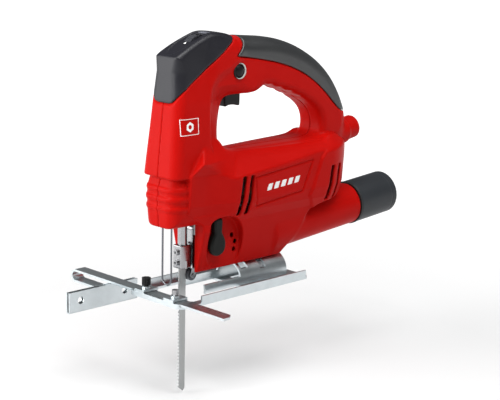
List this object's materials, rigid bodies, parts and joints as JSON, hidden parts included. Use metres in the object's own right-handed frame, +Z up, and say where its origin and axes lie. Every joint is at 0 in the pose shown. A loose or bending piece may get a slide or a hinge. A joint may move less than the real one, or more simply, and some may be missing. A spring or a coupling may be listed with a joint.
{
  "type": "jigsaw power tool",
  "caption": "Corded D-handle jigsaw with tilting sole, orbital lever, speed wheel, blade clamp, parallel guide fence and pull-off dust tube adapter.",
  "frame": {"origin": "underside of the sole plate, where the saw blade's centre line crosses it", "axes": "+X to the rear of the tool, +Y to the tool's right-hand side, +Z up; the blade cuts forwards, towards -X"},
  "size_m": [0.3304, 0.196, 0.3046],
  "materials": {
    "red_plastic": "fine spark-eroded satin",
    "slate_plastic": "satin",
    "grip_rubber": "soft matt",
    "black_plastic": "satin",
    "adapter_plastic": "satin, turned",
    "seal_rubber": "matt",
    "pale_ring": "satin",
    "zinc_sheet": "bright zinc plate",
    "plated_steel": "nickel plate",
    "blade_steel": "ground steel",
    "dark_steel": "hardened",
    "iron_laminations": "stamped laminations",
    "copper_wire": "enamelled copper",
    "bush_bronze": "sintered",
    "cast_aluminium": "die cast",
    "carbon": "pressed carbon",
    "circuit_board": "resist"
  },
  "bodies": {
    "housing": {"housing_left": "red_plastic", "housing_right": "red_plastic", "housing_screws": "plated_steel", "front_cap": "slate_plastic", "grip_overlay": "grip_rubber", "stator_core": "iron_laminations", "field_coils": "copper_wire", "brush_holders": "black_plastic", "carbon_brushes": "carbon", "brush_springs": "dark_steel", "front_bearing": "dark_steel", "rear_bearing": "dark_steel", "gearbox_frame": "cast_aluminium", "gear_axle": "dark_steel", "upper_bush": "bush_bronze", "lower_bush": "bush_bronze", "fork_pivot_pin": "dark_steel", "tilt_clamp_plate": "dark_steel", "trigger_switch": "black_plastic", "lock_ring": "pale_ring", "dial_axle": "dark_steel", "speed_board": "circuit_board", "wire_guard": "plated_steel", "dust_duct": "adapter_plastic", "interference_capacitor": "black_plastic"},
    "armature": {"armature_shaft": "dark_steel", "armature_core": "iron_laminations", "armature_windings": "copper_wire", "commutator": "copper_wire", "cooling_fan": "adapter_plastic"},
    "crank_gear": {"drive_gear": "dark_steel", "crank_roller": "dark_steel"},
    "plunger": {"saw_blade": "blade_steel", "plunger_rod": "plated_steel", "crank_yoke": "dark_steel", "blade_clamp": "plated_steel", "clamp_screws": "plated_steel"},
    "pendulum": {"pendulum_fork": "plated_steel", "roller_pin": "plated_steel"},
    "roller": {"guide_roller": "dark_steel"},
    "orbit_lever": {"pendulum_lever": "black_plastic", "lever_camshaft": "dark_steel"},
    "shoe": {"sole_plate": "zinc_sheet", "tilt_cradle": "zinc_sheet", "fence_bridges": "zinc_sheet"},
    "fence": {"fence_bar": "zinc_sheet", "fence_plate": "zinc_sheet", "fence_rivets": "zinc_sheet"},
    "far_screw": {"far_thumbscrew": "black_plastic"},
    "near_screw": {"near_thumbscrew": "plated_steel"},
    "tilt_screw": {"tilt_clamp_screw": "dark_steel"},
    "trigger_key": {"trigger": "black_plastic"},
    "lock_key": {"lock_button": "black_plastic"},
    "speed_wheel": {"speed_dial": "slate_plastic"},
    "adapter": {"dust_adapter": "adapter_plastic", "adapter_seal": "seal_rubber"}
  },
  "joints": [
    {"name": "armature_spin", "type": "hinge", "parent": "housing", "child": "armature", "pos_m": [0.09, 0, 0.091], "axis": [1, 0, 0], "continuous": true},
    {"name": "gear_spin", "type": "hinge", "parent": "housing", "child": "crank_gear", "pos_m": [0.018, 0, 0.115], "axis": [1, 0, 0], "continuous": true},
    {"name": "plunger_stroke", "type": "slide", "parent": "housing", "child": "plunger", "axis": [0, 0, 1], "range_m": [-0.002, 0.016]},
    {"name": "pendulum_swing", "type": "hinge", "parent": "housing", "child": "pendulum", "pos_m": [0.012, 0, 0.056], "axis": [0, -1, 0], "range_deg": [0, 4]},
    {"name": "roller_spin", "type": "hinge", "parent": "pendulum", "child": "roller", "pos_m": [0.0092, 0, 0.0165], "axis": [0, 1, 0], "continuous": true},
    {"name": "orbit_lever_turn", "type": "hinge", "parent": "housing", "child": "orbit_lever", "pos_m": [0.0245, 0, 0.042], "axis": [0, 1, 0], "range_deg": [0, 75]},
    {"name": "shoe_tilt", "type": "hinge", "parent": "housing", "child": "shoe", "pos_m": [0.05, 0, 0.005], "axis": [1, 0, 0], "range_deg": [-45, 45]},
    {"name": "fence_slide", "type": "slide", "parent": "shoe", "child": "fence", "axis": [0, 1, 0], "range_m": [-0.022, 0.055]},
    {"name": "far_screw_turn", "type": "hinge", "parent": "shoe", "child": "far_screw", "pos_m": [-0.0235, 0.0184, 0.0095], "axis": [0, 0, 1], "continuous": true},
    {"name": "near_screw_turn", "type": "hinge", "parent": "shoe", "child": "near_screw", "pos_m": [-0.0235, -0.0184, 0.0095], "axis": [0, 0, 1], "continuous": true},
    {"name": "tilt_screw_turn", "type": "hinge", "parent": "housing", "child": "tilt_screw", "pos_m": [0.082, 0, 0.015], "axis": [0, 0, 1], "continuous": true},
    {"name": "trigger_pull", "type": "slide", "parent": "housing", "child": "trigger_key", "axis": [0, 0, 1], "range_m": [0, 0.005], "stiffness_N_per_m": 800, "springref_m": -0.004},
    {"name": "lock_push", "type": "slide", "parent": "housing", "child": "lock_key", "axis": [0, 1, 0], "range_m": [0, 0.003], "stiffness_N_per_m": 600, "springref_m": -0.003},
    {"name": "dial_turn", "type": "hinge", "parent": "housing", "child": "speed_wheel", "pos_m": [0.012, 0, 0.2064], "axis": [0, 1, 0], "range_deg": [0, 270]},
    {"name": "adapter_pull", "type": "slide", "parent": "housing", "child": "adapter", "axis": [0.9968, 0, 0.0802], "range_m": [0, 0.03]}
  ],
  "couplings": [
    {"joint": "gear_spin", "follows": "armature_spin", "ratio": -0.2}
  ]
}
